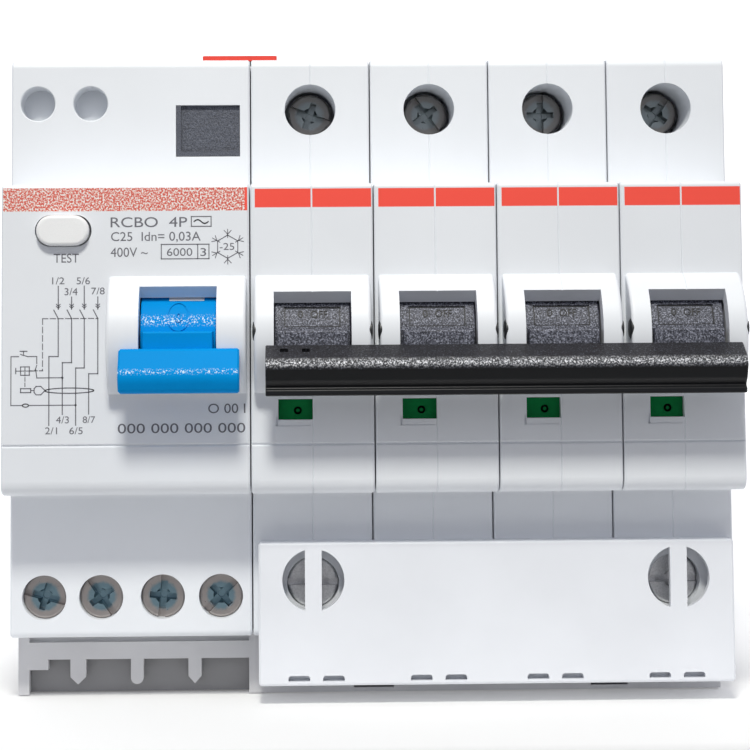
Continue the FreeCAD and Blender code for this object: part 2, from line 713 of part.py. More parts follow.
def rcd_halves():
    body = rcd_body()
    front = body.common(box(-BIG, BIG, -BIG, SPLIT_Y, -BIG, BIG))
    rear = body.common(box(-BIG, BIG, SPLIT_Y, BIG, -BIG, BIG))
    x0 = -HALF_WIDTH
    x1 = JOINT_X - GAP
    ring = box(x0 - 1, x1 + 1, SPLIT_Y, SPLIT_Y + 0.2, BOTTOM_Z - 1, TOP_Z + 1)
    core = box(x0 + 0.2, x1 - 0.2, SPLIT_Y - 1, SPLIT_Y + 1, BOTTOM_Z + 0.2, TOP_Z - 0.2)
    rear = rear.cut(ring.cut(core))
    return front, rear


def oval(x, z, half_w, half_h, y0, y1):
    """Stadium-shaped block along Y."""
    straight = half_w - half_h
    bar = box(x - straight, x + straight, y0, y1, z - half_h, z + half_h)
    ends = [cyl(half_h, y1 - y0, x - straight, y0, z, Y_AXIS),
            cyl(half_h, y1 - y0, x + straight, y0, z, Y_AXIS)]
    return fuse([bar] + ends)


def test_hole():
    return oval(TEST_X, TEST_Z, 3.7 + CLEAR, 2.15 + 0.08, CAP_Y - 1, CAP_Y + WALL + 0.1)


def test_button():
    key = oval(TEST_X, TEST_Z, 3.7, 2.15, CAP_Y - 1.3, -50.6)
    key = key.makeFillet(0.5, edges_at_y(key, CAP_Y - 1.3))
    flange = oval(TEST_X, TEST_Z, 4.9, 3.3, CAP_Y + WALL + CLEAR, -51.2)
    stem = cyl(1.1, 6.6, TEST_X, -51.0, TEST_Z, Y_AXIS)
    return fuse([key, flange, stem])


def test_contact():
    """Bent contact strip under the test button's stem, standing on the relay."""
    blade = box(TEST_X - 1.5, TEST_X + 1.5, -42.6, -42.2, 7.0, TEST_Z + 2.0)
    foot = box(TEST_X - 1.5, TEST_X + 1.5, -42.6, -41.4, 6.6, 7.0)
    return fuse([blade, foot])


def ellipse_block(x, z, half_w, half_h):
    """Elliptical block along Y over the front of the drum."""
    outline = Part.Ellipse(V(x, AXIS_Y - 10, z), half_w, half_h)
    outline.Axis = V(0, -1, 0)
    outline.AngleXU = 0
    return Part.Face(Part.Wire([outline.toShape()])).extrude(V(0, 6, 0))


def rcd_toggle():
    x = RCD_TOGGLE_X
    body = toggle(x)
    ring = ellipse_block(x, 4.1, 2.05, 1.6).cut(ellipse_block(x, 4.1, 1.87, 1.42))
    band = cyl(DRUM_R + 0.15, 20, x - 10, AXIS_Y, AXIS_Z, X_AXIS)
    ring = ring.common(band)
    points = [
        (-59.4, -0.35, 0.3),
        (-60.6, -0.45, 0.6),
        (-62.75, -4.2, 2.0),
        (-61.7, -6.4, 1.0),
        (-59.2, -6.6, 0.4),
    ]
    lever = prism(points, x - 8.0, x + 8.6)
    lever = soften(lever, edges_at_x(lever, x - 8.0) + edges_at_x(lever, x + 8.6), 0.25)
    lever = lever.cut(cyl(BUMP_R + 0.3, 40, x - 20, AXIS_Y, AXIS_Z, X_AXIS))
    link = box(x - DRUM_HALF + 0.2, x + DRUM_HALF - 0.2, -60.4, AXIS_Y - 9.0, -3.4, -0.6)
    return fuse([body, lever, link, ring])


def port_cover():
    """Square blanking cap with a raised rim at its left and lower sides."""
    w = 4.7 - 0.05
    h = 3.8 - 0.05
    cap = box(PORT_X - w, PORT_X + w, SHOULDER_Y + 0.6, SHOULDER_Y + 3.0, PORT_Z - h, PORT_Z + h)
    cap = cap.fuse(box(PORT_X - w, PORT_X - w + 0.7, SHOULDER_Y, SHOULDER_Y + 3, PORT_Z - h, PORT_Z + h))
    cap = cap.fuse(box(PORT_X - w, PORT_X + w, SHOULDER_Y, SHOULDER_Y + 3, PORT_Z - h, PORT_Z - h + 0.7))
    return cap.removeSplitter()


def ring_y(outer, inner, y0, y1):
    tube = cyl(outer, y1 - y0, TOROID_X, y0, 0, Y_AXIS)
    return tube.cut(cyl(inner, y1 - y0 + 2, TOROID_X, y0 - 1, 0, Y_AXIS))


def toroid_core():
    body = ring_y(TOROID_R, TOROID_HOLE, TOROID_Y0, TOROID_Y1)
    edges = edges_at_y(body, TOROID_Y0) + edges_at_y(body, TOROID_Y1)
    return body.makeFillet(0.8, edges)


def toroid_winding():
    """Band of fine wire over the lower arc of the core."""
    sleeve = ring_y(TOROID_R + 0.8, TOROID_HOLE - 0.8, TOROID_Y0 - 0.8, TOROID_Y1 + 0.8)
    arc = Part.makeCylinder(TOROID_R + 5, 12, V(TOROID_X, TOROID_Y0 - 2, 0), Y_AXIS, 70)
    arc.rotate(V(TOROID_X, 0, 0), Y_AXIS, 55)
    return sleeve.common(arc).cut(toroid_core())


def primary_conductor(i):
    """Flat bar from its riser, through the core, down to its load tongue."""
    dx, z = CONDUCTOR_HOLE[i]
    hole_x = TOROID_X + dx
    load_x = RCD_LOAD_X[i]
    rise_x = RISER_X[i]
    s = 0.9
    back = (RISER_Y0, RISER_Y1)
    front = (CONDUCTOR_FRONT - s, CONDUCTOR_FRONT + s)
    parts = [
        box(rise_x - s, rise_x + s, back[0], back[1], -24.0, z + s),
        box(min(rise_x, hole_x) - s, max(rise_x, hole_x) + s, back[0], back[1], z - s, z + s),
        box(hole_x - s, hole_x + s, front[0], back[1], z - s, z + s),
        box(min(load_x, hole_x) - s, max(load_x, hole_x) + s, front[0], front[1], z - s, z + s),
        box(load_x - s, load_x + s, front[0], front[1], -26.9, z + s),
        box(load_x - s, load_x + s, front[0], TONGUE_Y1 - 0.05, -27.4, -26.0),
        box(load_x - 1.6, load_x + 1.6, TONGUE_Y0 + 0.05, TONGUE_Y1 - 0.05, RCD_LOAD_Z - 3.6, -26.0),
    ]
    return fuse(parts)


def link_busbar(i):
    """Copper link from a breaker's load clamp, through the tray, up into the residual block."""
    level = TRAY_LEVEL[i]
    x = POLE_X[i]
    rise_x = RISER_X[3 - i]
    thick = 0.9
    parts = [
        box(x - 2.0, x + 2.0, -16.2, -14.2, level, LOAD_Z + 1.5),
        box(x - 2.0, x + 2.0, -16.2, RISER_Y1, level, level + thick),
        box(rise_x - 0.9, x + 2.0, RISER_Y0 - 1.4, RISER_Y1, level, level + thick),
        box(rise_x - 0.9, rise_x + 0.9, RISER_Y0, RISER_Y1, level, -24.0),
    ]
    return fuse(parts)


def relay_body():
    """Trip relay: sealed box with a plunger bore in its right side."""
    case = box(RELAY_X0, -39.0, -41.4, -30.6, 3.0, 19.5)
    case = case.makeChamfer(0.6, [e for e in case.Edges if e.BoundBox.XLength > 5])
    lead = box(-46.0, -43.6, -30.7, -27.5, 5.0, 8.0)
    ears = [box(-41.0, LEVER_X + 2.4, -41.4, -40.1, LEVER_Z - 2.4, 4.0),
            box(-41.0, LEVER_X + 2.4, -31.9, -30.6, LEVER_Z - 2.4, 4.0)]
    bore = cyl(1.2 + PIN_FIT, 7.0, -44.6, -36.0, 11.0, X_AXIS)
    pivot = cyl(1.0 + PIN_FIT, 14.0, LEVER_X, -43.0, LEVER_Z, Y_AXIS)
    return fuse([case, lead] + ears).cut(fuse([bore, pivot]))


def relay_plunger():
    pin = cyl(1.2, 6.4, -43.0, -36.0, 11.0, X_AXIS)
    head = cyl(2.0, 0.8, -37.4, -36.0, 11.0, X_AXIS)
    return fuse([pin, head])


def trip_lever():
    """Rocker between the relay plunger and the reset toggle."""
    pin = cyl(1.0, 10.4, LEVER_X, LEVER_Y - 5.2, LEVER_Z, Y_AXIS)
    hub = cyl(2.0, 3.0, LEVER_X, LEVER_Y - 1.5, LEVER_Z, Y_AXIS)
    arm = box(LEVER_X - 1.3, LEVER_X + 0.1, LEVER_Y - 1.5, LEVER_Y + 1.5, LEVER_Z, 12.5)
    hook = box(LEVER_X, LEVER_X + 6.0, LEVER_Y - 1.5, LEVER_Y + 1.5, LEVER_Z - 0.8, LEVER_Z + 0.8)
    return fuse([pin, hub, arm, hook])


# ---------------------------------------------------------------- tray, cover, clip

def tray_frame(left, bay, right):
    """Walls, posts and floors of the moulding."""
    y0 = TRAY_Y0
    y1 = TRAY_Y1
    wall = TRAY_WALL
    top = TRAY_TOP_Z
    bottom = TRAY_Z
    channel = -9.4
    beam = [
        box(left, bay, y0, y0 + 1.6, -46.1, -43.6),
        box(left, bay, y0 + 1.0, y0 + 4.4, -45.0, top - 1.0),
        box(left, bay, y0 + 3.0, y1, top - 1.2, top),
    ]
    posts = [
        box(left, left + 1.6, y0, y1, bottom, top),
        box(left, left + 4.4, y0, y0 + 1.6, -47.6, top - 1.6),
        box(bay - 1.3, bay, y0, y1, bottom, top),
    ]
    bays = [
        box(left, bay, BAY_BACK_Y, BAY_BACK_Y + 1.5, bottom, top),
        box(left, bay, channel, channel + wall, bottom, top),
        box(left, right, channel, y1, bottom, bottom + 1.0),
    ]
    links = [
        box(left, right, y1 - wall, y1, bottom, top),
        box(bay - 1.3, right, y0, y1, bottom, bottom + 1.0),
        box(bay - 1.3, right, y0, y0 + wall, bottom, top),
        box(right - wall, right, y0, y1, bottom, top),
    ]
    return beam + posts + bays + links


def tray_ribs():
    """Dividers between the cable bays: two pointed, one rounded."""
    parts = []
    length = -8.5 - TRAY_Y0
    for x0, x1 in POINTED_RIBS:
        corners = [V(x0, TRAY_Y0, TRAY_TOP_Z), V(x0, TRAY_Y0, -48.7), V((x0 + x1) / 2, TRAY_Y0, -49.75),
                   V(x1, TRAY_Y0, -48.7), V(x1, TRAY_Y0, TRAY_TOP_Z)]
        face = Part.Face(Part.makePolygon(corners + [corners[0]]))
        parts.append(face.extrude(V(0, length, 0)))
    x0, x1 = ROUND_RIB
    r = (x1 - x0) / 2
    parts.append(box(x0, x1, TRAY_Y0, TRAY_Y0 + length, -49.77 + r, TRAY_TOP_Z))
    parts.append(cyl(r, length, x0 + r, TRAY_Y0, -49.77 + r, Y_AXIS))
    groove = box(-BIG, BIG, TRAY_Y0 - 1, TRAY_Y0 + 3.0, -43.6, BIG)
    return [part.cut(groove) for part in parts]


def connection_tray():
    """Grey moulding under the housing: cable bays on the left, link channel on the right."""
    left = -HALF_WIDTH + 0.3
    bay = -16.9
    body = fuse(tray_frame(left, bay, 51.7) + tray_ribs())
    for x in RCD_LOAD_X:
        body = body.cut(box(x - 2.8, x + 2.8, ENTRY_Y0 - 0.2, ENTRY_Y1 + 0.2, -45.0, TRAY_TOP_Z + 1))
    for x in RISER_X:
        body = body.cut(box(x - 1.3, x + 1.3, RISER_Y0 - 0.3, RISER_Y1 + 0.3, -45.0, TRAY_TOP_Z + 1))
    link_gate = box(bay - 2.5, bay + 1, RISER_Y0 - 1.9, RISER_Y1 + 0.3, TRAY_Z + 1.0, TRAY_TOP_Z - 1.2)
    body = body.cut(link_gate)
    for x0, x1 in ((-2.7, 3.2), (32.4, 37.9)):
        body = body.cut(box(x0, x1, TRAY_Y0 - 1, TRAY_Y0 + TRAY_WALL + 1, -50.6, -50.2))
    return body.removeSplitter()


def cover_points(inset):
    """Side profile of the lid; with an inset it is the hollow, open at the back."""
    if inset:
        mouth = SHOULDER_Y + 1
        foot = TRAY_Y0 + 1
    else:
        mouth = SHOULDER_Y - 0.02
        foot = TRAY_Y0 - 0.05
    return [
        (mouth, COVER_TOP_Z - inset, 0),
        (COVER_Y + inset, COVER_TOP_Z - inset, 0.4),
        (COVER_Y + inset, COVER_BOTTOM_Z + inset, 0.5),
        (foot, COVER_BOTTOM_Z + inset, 0),
        (foot, BOTTOM_Z - 0.05, 0),
        (mouth, BOTTOM_Z - 0.05, 0),
    ]


def latch_slot(x):
    """Flat-bottomed slot low on the lid's face."""
    slot = box(x - 1.55, x + 1.55, COVER_Y - 1, COVER_Y + COVER_WALL + 0.5, -47.95, -47.15)
    upper = [e for e in slot.Edges if e.BoundBox.ZMin > -47.2 and e.BoundBox.YLength > 1]
    return slot.makeFillet(0.45, upper)


def terminal_cover():
    """Sealing lid over the breaker's load terminals."""
    body = prism(cover_points(0), COVER_X0, COVER_X1)
    body = soften(body, edges_at_x(body, COVER_X0) + edges_at_x(body, COVER_X1), 0.3)
    body = body.cut(prism(cover_points(COVER_WALL), COVER_X0 + COVER_WALL, COVER_X1 - COVER_WALL))
    for x in (POLE_X[0], POLE_X[3]):
        hole = cyl(HALF_MOON_R, 4.0, x, COVER_Y - 1, HALF_MOON_Z, Y_AXIS)
        web = box(x - 1.2, x + 1.2, -BIG, BIG, -BIG, BIG)
        body = body.cut(hole.cut(web))
    for i, x in enumerate(POLE_X):
        shift = -2.1 if i < 2 else -2.9
        body = body.cut(latch_slot(x + shift))
        body = body.cut(latch_slot(x + shift + 4.95))
    for x in POLE_X[1:]:
        rib = box(x - 8.6, x - 7.8, COVER_Y + 0.6, SHOULDER_Y - 0.05, COVER_TOP_Z - 8.0, COVER_TOP_Z - 0.6)
        body = body.fuse(rib)
    return body.removeSplitter()


def clip_pockets():
    """Slots in the top faces for the coupling clip's prongs."""
    return [box(-23.2, -21.4, -41.2, -37.0, TOP_Z - 3.5, TOP_Z + 1),
            box(-16.6, -14.8, -41.2, -37.0, TOP_Z - 3.5, TOP_Z + 1)]


def coupling_clip():
    plate = box(-24.6, -13.6, -42.0, -36.2, TOP_Z + 0.02, TOP_Z + 0.8)
    plate = plate.makeFillet(0.4, [e for e in plate.Edges if e.BoundBox.ZLength > 0.7])
    prongs = [box(-23.1, -21.5, -41.1, -37.1, TOP_Z - 3.3, TOP_Z + 0.5),
              box(-16.5, -14.9, -41.1, -37.1, TOP_Z - 3.3, TOP_Z + 0.5)]
    return fuse([plate] + prongs)


# ---------------------------------------------------------------- write nodes

def write_poles():
    pockets = fuse(clip_pockets())
    for i, x in enumerate(POLE_X):
        n = str(i + 1)
        clip = i == CLIP_POLE
        left = pole_shell(x, -1, clip)
        right = pole_shell(x, 1, clip)
        if i == 0:
            left = left.cut(pockets)
        save("pole" + n + "_shell_left", left)
        save("pole" + n + "_shell_right", right)
        save("pole" + n + "_toggle", mcb_toggle(x))
        save("pole" + n + "_flag", position_flag(x))
        save("line_screw_" + n, line_screw(x, 20.0 + 35.0 * i))
        save("line_cage_" + n, cage(x, LINE_Z, MCB_CAGE_HALF, MCB_CAGE_SIDE, SHANK_R))


def write_groups():
    for name, maker in (("contact_arms", contact_arm), ("fixed_contacts", fixed_contact),
                        ("trip_coils", trip_coil), ("bimetals", bimetal), ("arc_chutes", arc_chute)):
        save(name, Part.makeCompound([maker(x) for x in POLE_X]))
    save("breaker_load_screws", Part.makeCompound([load_screw(x) for x in POLE_X]))
    cages = [cage(x, LOAD_Z, MCB_CAGE_HALF, MCB_CAGE_SIDE, SHANK_R) for x in POLE_X]
    save("breaker_load_cages", Part.makeCompound(cages))
    save("pole_rivets", rivets())


def write_residual_block():
    front, rear = rcd_halves()
    pockets = fuse(clip_pockets())
    save("rcd_front_cover", front.cut(pockets))
    save("rcd_rear_case", rear)
    save("rcd_toggle", rcd_toggle())
    save("test_button", test_button())
    save("test_contact", test_contact())
    save("port_cover", port_cover())
    save("toroid_core", toroid_core())
    save("toroid_winding", toroid_winding())
    save("relay_body", relay_body())
    save("relay_plunger", relay_plunger())
    save("trip_lever", trip_lever())
    save("primary_conductors", Part.makeCompound([primary_conductor(i) for i in range(4)]))
    save("link_busbars", Part.makeCompound([link_busbar(i) for i in range(4)]))
    for i, x in enumerate(RCD_LOAD_X):
        save("load_screw_" + str(i + 1), rcd_screw(x, 15.0 + 40.0 * i))
        lift = cage(x, RCD_LOAD_Z, RCD_CAGE_HALF, RCD_CAGE_SIDE, RCD_SHANK_R)
        save("load_cage_" + str(i + 1), lift)


def write_common():
    save("handle_bar", handle_bar())
    save("rcd_din_clip", din_clip((-HALF_WIDTH + JOINT_X - GAP) / 2))
    save("breaker_din_clip", din_clip(POLE_X[CLIP_POLE]))
    save("connection_tray", connection_tray())
    save("terminal_cover", terminal_cover())
    save("coupling_clip", coupling_clip())


write_poles()
write_groups()
write_residual_block()
write_common()
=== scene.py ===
import math
import bmesh
import bpy
from mathutils import Matrix, Vector


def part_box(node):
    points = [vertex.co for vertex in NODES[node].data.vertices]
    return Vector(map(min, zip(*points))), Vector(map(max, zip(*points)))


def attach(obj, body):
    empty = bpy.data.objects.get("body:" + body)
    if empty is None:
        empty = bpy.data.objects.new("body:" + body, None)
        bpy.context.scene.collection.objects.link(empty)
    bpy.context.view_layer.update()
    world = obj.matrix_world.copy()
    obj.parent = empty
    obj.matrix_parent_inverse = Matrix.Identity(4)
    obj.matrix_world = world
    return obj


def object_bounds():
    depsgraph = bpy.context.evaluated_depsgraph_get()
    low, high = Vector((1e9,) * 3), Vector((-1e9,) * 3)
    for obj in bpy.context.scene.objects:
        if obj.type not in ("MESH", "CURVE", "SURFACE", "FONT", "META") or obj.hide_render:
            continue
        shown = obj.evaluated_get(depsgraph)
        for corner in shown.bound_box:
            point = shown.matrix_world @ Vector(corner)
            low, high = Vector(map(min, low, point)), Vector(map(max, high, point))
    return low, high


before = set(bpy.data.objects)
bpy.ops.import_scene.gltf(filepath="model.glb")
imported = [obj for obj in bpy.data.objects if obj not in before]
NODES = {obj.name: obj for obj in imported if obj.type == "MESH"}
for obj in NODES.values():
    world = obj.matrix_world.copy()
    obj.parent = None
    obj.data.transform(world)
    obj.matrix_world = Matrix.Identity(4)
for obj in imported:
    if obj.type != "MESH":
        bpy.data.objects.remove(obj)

MM = 0.001
CAD_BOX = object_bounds()
POLES = [1, 2, 3, 4]


def centre_x(node):
    low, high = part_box(node)
    return (low[0] + high[0]) / 2 / MM


POLE_X = [centre_x("line_screw_%d" % i) for i in POLES]
CAP_Y = -54.0
AXIS_Y = -49.3
AXIS_Z = 1.0
DRUM_R = 7.4
LABEL_FLOOR = DRUM_R - 0.25
BAR_Y = -58.0
LABEL_Z = (2.53, 5.40)
TIE_Y = -57.75
TIE_Z = 1.95
TIE_SIDE = 8.15
LINE_Z = 34.5
LOAD_Z = -36.2
NEAR_PAPER = (-105.0, -76.0)

# ---------------------------------------------------------------- materials


def new_material(name):
    mat = bpy.data.materials.new(name)
    mat.use_nodes = True
    tree = mat.node_tree
    return mat, tree, tree.nodes["Principled BSDF"]


def place(tree):
    """Row-frame position of the shaded point, in millimetres, as X, Y, Z sockets."""
    coord = tree.nodes.new("ShaderNodeTexCoord")
    scale = tree.nodes.new("ShaderNodeVectorMath")
    scale.operation = "SCALE"
    scale.inputs["Scale"].default_value = 1000.0
    tree.links.new(coord.outputs["Object"], scale.inputs[0])
    split = tree.nodes.new("ShaderNodeSeparateXYZ")
    tree.links.new(scale.outputs[0], split.inputs[0])
    return scale.outputs[0], split.outputs


def maths(tree, operation, a, b=None, c=None):
    node = tree.nodes.new("ShaderNodeMath")
    node.operation = operation
    for slot, value in enumerate((a, b, c)):
        if value is None:
            continue
        if isinstance(value, (int, float)):
            node.inputs[slot].default_value = value
        else:
            tree.links.new(value, node.inputs[slot])
    return node.outputs[0]


def band(tree, value, low, high, soft=0.03):
    """1 between low and high, with a soft edge."""
    middle = (low + high) / 2
    half = (high - low) / 2
    off = maths(tree, "ABSOLUTE", maths(tree, "SUBTRACT", value, middle))
    edge = tree.nodes.new("ShaderNodeMapRange")
    edge.inputs["From Min"].default_value = half - soft
    edge.inputs["From Max"].default_value = half + soft
    edge.inputs["To Min"].default_value = 1.0
    edge.inputs["To Max"].default_value = 0.0
    tree.links.new(off, edge.inputs["Value"])
    return edge.outputs[0]


def noise(tree, vector, scale, detail=2.0, rough=0.5):
    node = tree.nodes.new("ShaderNodeTexNoise")
    node.inputs["Scale"].default_value = scale
    node.inputs["Detail"].default_value = detail
    node.inputs["Roughness"].default_value = rough
    tree.links.new(vector, node.inputs["Vector"])
    return node.outputs["Fac"]


def ramp(tree, fac, stops):
    node = tree.nodes.new("ShaderNodeValToRGB")
    node.color_ramp.elements[0].position = stops[0][0]
    node.color_ramp.elements[0].color = (*stops[0][1], 1)
    node.color_ramp.elements[1].position = stops[-1][0]
    node.color_ramp.elements[1].color = (*stops[-1][1], 1)
    for position, colour in stops[1:-1]:
        extra = node.color_ramp.elements.new(position)
        extra.color = (*colour, 1)
    tree.links.new(fac, node.inputs[0])
    return node.outputs[0]


def mix(tree, fac, a, b):
    node = tree.nodes.new("ShaderNodeMix")
    node.data_type = "RGBA"
    if isinstance(fac, (int, float)):
        node.inputs[0].default_value = fac
    else:
        tree.links.new(fac, node.inputs[0])
    for slot, value in ((6, a), (7, b)):
        if isinstance(value, tuple):
            node.inputs[slot].default_value = (*value, 1)
        else:
            tree.links.new(value, node.inputs[slot])
    return node.outputs[2]


def bump(tree, bsdf, height, strength, distance):
    node = tree.nodes.new("ShaderNodeBump")
    node.inputs["Strength"].default_value = strength
    node.inputs["Distance"].default_value = distance
    tree.links.new(height, node.inputs["Height"])
    tree.links.new(node.outputs[0], bsdf.inputs["Normal"])
    return node


def moulded(name, colour, rough, grain=18.0, depth=0.02, vary=0.03, spec=0.5, grain_rough=0.08):
    """Moulded plastic: fine spark-eroded grain, faint cloudy colour and gloss changes."""
    mat, tree, bsdf = new_material(name)
    where, _ = place(tree)
    cloud = noise(tree, where, 0.06, 3.0)
    dark = tuple(c * (1 - vary) for c in colour)
    light = tuple(min(1.0, c * (1 + vary)) for c in colour)
    tree.links.new(ramp(tree, cloud, [(0.3, dark), (0.7, light)]), bsdf.inputs["Base Color"])
    fine = noise(tree, where, grain, 3.0, 0.6)
    gloss = tree.nodes.new("ShaderNodeMapRange")
    gloss.inputs["To Min"].default_value = rough - grain_rough
    gloss.inputs["To Max"].default_value = rough + grain_rough
    tree.links.new(fine, gloss.inputs["Value"])
    tree.links.new(gloss.outputs[0], bsdf.inputs["Roughness"])
    bump(tree, bsdf, fine, 0.35, depth * MM)
    bsdf.inputs["Specular IOR Level"].default_value = spec
    return mat


WHITE = (0.80, 0.825, 0.865)
RED = (0.97, 0.085, 0.055)


def facing_front(tree):
    """1 on flat faces that look along -Y."""
    geometry = tree.nodes.new("ShaderNodeNewGeometry")
    split = tree.nodes.new("ShaderNodeSeparateXYZ")
    tree.links.new(geometry.outputs["True Normal"], split.inputs[0])
    return maths(tree, "LESS_THAN", split.outputs[1], -0.985)


def shell_material(name, low, high, grainy):
    """White housing plastic with a printed red band across the top of the cap."""
    mat, tree, bsdf = new_material(name)
    where, axes = place(tree)
    cloud = noise(tree, where, 0.05, 3.0)
    shaded = tuple(c * 0.975 for c in WHITE)
    clean = tuple(min(1, c * 1.015) for c in WHITE)
    white = ramp(tree, cloud, [(0.3, shaded), (0.7, clean)])
    fine = noise(tree, where, 16.0, 3.0, 0.6)
    front = maths(tree, "MULTIPLY", maths(tree, "LESS_THAN", axes[1], CAP_Y + 1.2), facing_front(tree))
    if not grainy:
        across = maths(tree, "FLOORED_MODULO", maths(tree, "ADD", axes[0], 17.5), 17.5)
        front = maths(tree, "MULTIPLY", front, maths(tree, "GREATER_THAN", across, 0.72))
    mask = maths(tree, "MULTIPLY", band(tree, axes[2], low, high, 0.04), front)
    if grainy:
        speck = noise(tree, where, 4.0, 2.0, 0.6)
        red = ramp(tree, speck, [(0.42, (0.66, 0.085, 0.055)), (0.50, (0.74, 0.20, 0.15)),
                                 (0.54, (0.84, 0.70, 0.64)), (0.60, (0.88, 0.86, 0.84))])
        edge = band(tree, axes[0], -18.2, -17.0, 0.05)
        red = mix(tree, edge, red, RED)
    else:
        red = ramp(tree, fine, [(0.3, tuple(c * 0.93 for c in RED)), (0.7, RED)])
    tree.links.new(mix(tree, mask, white, red), bsdf.inputs["Base Color"])
    gloss = tree.nodes.new("ShaderNodeMapRange")
    gloss.inputs["To Min"].default_value = 0.36
    gloss.inputs["To Max"].default_value = 0.52
    tree.links.new(fine, gloss.inputs["Value"])
    tree.links.new(gloss.outputs[0], bsdf.inputs["Roughness"])
    bump(tree, bsdf, fine, 0.25, 0.012 * MM)
    return mat


def black_grip(name):
    """Black plastic with coarse grain bumps; pale flecks in its colour are painted glints, with a painted
    highlight band along the bar's ridge; smooth, glossy and plain black on the lower face of the bar.
    """
    mat, tree, bsdf = new_material(name)
    where, axes = place(tree)
    coarse = noise(tree, where, 5.0, 3.0, 0.7)
    lower = maths(tree, "LESS_THAN", axes[2], -3.35)
    smooth = maths(tree, "MULTIPLY", lower, maths(tree, "LESS_THAN", axes[1], BAR_Y))
    rough = maths(tree, "SUBTRACT", 1.0, smooth)
    bump(tree, bsdf, maths(tree, "MULTIPLY", coarse, rough), 1.0, 0.08 * MM)
    # painted glints: the ramp's pale steps stand in for light glinting off the coarse grain, fainter on
    # the bar; its darkest step is the plastic's own black
    painted_glint_black = ramp(tree, coarse, [(0.38, (0.020, 0.021, 0.028)), (0.50, (0.075, 0.079, 0.102)),
                               (0.60, (0.25, 0.262, 0.325)), (0.70, (0.50, 0.52, 0.60))])
    on_bar = maths(tree, "LESS_THAN", axes[1], -59.7)
    bar_painted_glint_black = ramp(tree, coarse, [(0.44, (0.006, 0.006, 0.008)), (0.56, (0.018, 0.019, 0.024)),
                                    (0.66, (0.09, 0.095, 0.12)), (0.76, (0.24, 0.25, 0.30))])
    painted_glint_black = mix(tree, on_bar, painted_glint_black, bar_painted_glint_black)
    # painted highlight: a band of bright flecks along the bar's ridge, where the key light glints
    crest = band(tree, axes[2], -2.85, -2.05, 0.4)
    ridge = maths(tree, "MULTIPLY", crest, maths(tree, "LESS_THAN", axes[1], -61.3))
    glint_noise = noise(tree, where, 4.2, 2.0, 0.6)
    painted_ridge_highlight = ramp(tree, glint_noise, [(0.44, (0.03, 0.031, 0.036)), (0.53, (0.24, 0.25, 0.28)),
                                 (0.62, (0.85, 0.86, 0.90))])
    painted_glint_black = mix(tree, ridge, painted_glint_black, painted_ridge_highlight)
    tree.links.new(mix(tree, smooth, painted_glint_black, (0.006, 0.0065, 0.008)), bsdf.inputs["Base Color"])
    bsdf.inputs["Roughness"].default_value = 0.38
    bsdf.inputs["Specular IOR Level"].default_value = 0.35
    return mat


def blue_grip(name):
    """Blue plastic with painted highlights: white flecks painted along the lever's ridge and in a band
    round the drum.
    """
    mat = moulded(name, (0.001, 0.275, 0.70), 0.45, grain=6.0, depth=0.05, vary=0.04, spec=0.03)
    tree = mat.node_tree
    bsdf = tree.nodes["Principled BSDF"]
    plain = bsdf.inputs["Base Color"].links[0].from_socket
    where, axes = place(tree)
    # painted highlights: white flecks along the lever's ridge and in a band round the drum stand in for
    # glints of light
    lever = maths(tree, "LESS_THAN", axes[1], -61.5)
    drum = maths(tree, "GREATER_THAN", axes[1], -57.6)
    on_lever = maths(tree, "MULTIPLY", lever, band(tree, axes[2], -3.75, -3.25, 0.25))
    on_drum = maths(tree, "MULTIPLY", drum, band(tree, axes[2], 3.0, 4.1, 0.4))
    mask = maths(tree, "ADD", on_lever, on_drum)
    glint_noise = noise(tree, where, 4.5, 2.0, 0.6)
    painted_flecks = maths(tree, "GREATER_THAN", glint_noise, 0.57)
    shown = maths(tree, "MULTIPLY", mask, painted_flecks)
    tree.links.new(mix(tree, shown, plain, (0.75, 0.88, 0.96)), bsdf.inputs["Base Color"])
    return mat


def tray_plastic(name):
    """Grey plastic, with painted shade darkening the recessed back of the cable bays."""
    mat = moulded(name, (0.60, 0.60, 0.62), 0.45, depth=0.02, vary=0.06)
    tree = mat.node_tree
    bsdf = tree.nodes["Principled BSDF"]
    plain = bsdf.inputs["Base Color"].links[0].from_socket
    where, axes = place(tree)
    # painted shade: surfaces set back behind Y -35.4 in the cable bays are darkened in their colour
    deep = maths(tree, "GREATER_THAN", axes[1], -35.4)
    tree.links.new(mix(tree, deep, plain, (0.27, 0.27, 0.28)), bsdf.inputs["Base Color"])
    return mat


def metal(name, colour, rough, spread=0.12, scale=4.0, stretch=None, depth=0.01):
    """Plated or bare metal with fine handling marks."""
    mat, tree, bsdf = new_material(name)
    where, _ = place(tree)
    if stretch:
        shape = tree.nodes.new("ShaderNodeVectorMath")
        shape.operation = "MULTIPLY"
        shape.inputs[1].default_value = stretch
        tree.links.new(where, shape.inputs[0])
        where = shape.outputs[0]
    marks = noise(tree, where, scale, 5.0, 0.65)
    dark = tuple(c * 0.72 for c in colour)
    tree.links.new(ramp(tree, marks, [(0.3, dark), (0.7, colour)]), bsdf.inputs["Base Color"])
    gloss = tree.nodes.new("ShaderNodeMapRange")
    gloss.inputs["To Min"].default_value = max(0.05, rough - spread)
    gloss.inputs["To Max"].default_value = rough + spread
    tree.links.new(marks, gloss.inputs["Value"])
    tree.links.new(gloss.outputs[0], bsdf.inputs["Roughness"])
    bsdf.inputs["Metallic"].default_value = 1.0
    bump(tree, bsdf, marks, 0.4, depth * MM)
    return mat


